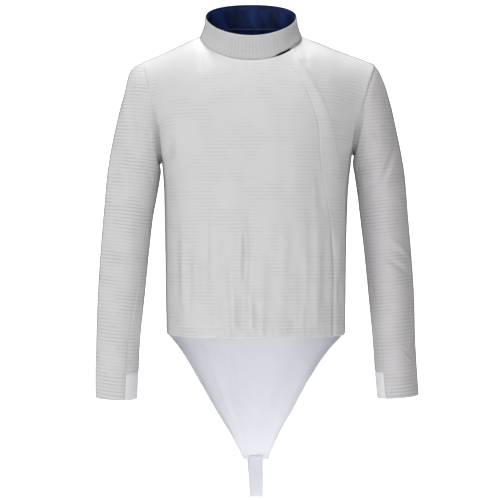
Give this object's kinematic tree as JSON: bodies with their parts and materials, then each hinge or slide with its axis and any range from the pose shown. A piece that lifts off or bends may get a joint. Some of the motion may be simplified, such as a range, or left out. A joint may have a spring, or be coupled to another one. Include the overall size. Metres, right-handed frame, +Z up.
{
  "type": "fencing lame",
  "caption": "Long-sleeved sabre fencing jacket of silver metallic cloth with a stand collar, a slanting front fly and a white crotch strap ending in a webbing loop.",
  "frame": {"origin": "between the wearer's shoulders, at the level of the neck, where the wearer carries the garment", "axes": "+Z up to the collar, -Y the way the front faces, +X towards the wearer's left"},
  "size_m": [0.5748, 0.2369, 0.9082],
  "materials": {
    "lame_cloth": "silver metallic weave with fine cross ribs, soft sheen",
    "white_cloth": "plain white cotton",
    "webbing": "white ribbed webbing",
    "blue_lining": "matt dark blue lining"
  },
  "bodies": {
    "root": {"front_right": "lame_cloth", "front_fly": "lame_cloth", "front_left": "lame_cloth", "back": "lame_cloth", "sleeve_upper_right": "lame_cloth", "sleeve_under_right": "lame_cloth", "sleeve_upper_left": "lame_cloth", "sleeve_under_left": "lame_cloth", "cuff_gusset_right": "white_cloth", "cuff_gusset_left": "white_cloth", "collar": "lame_cloth", "collar_lining": "blue_lining", "crotch_strap": "white_cloth", "strap_loop": "webbing"}
  },
  "joints": []
}
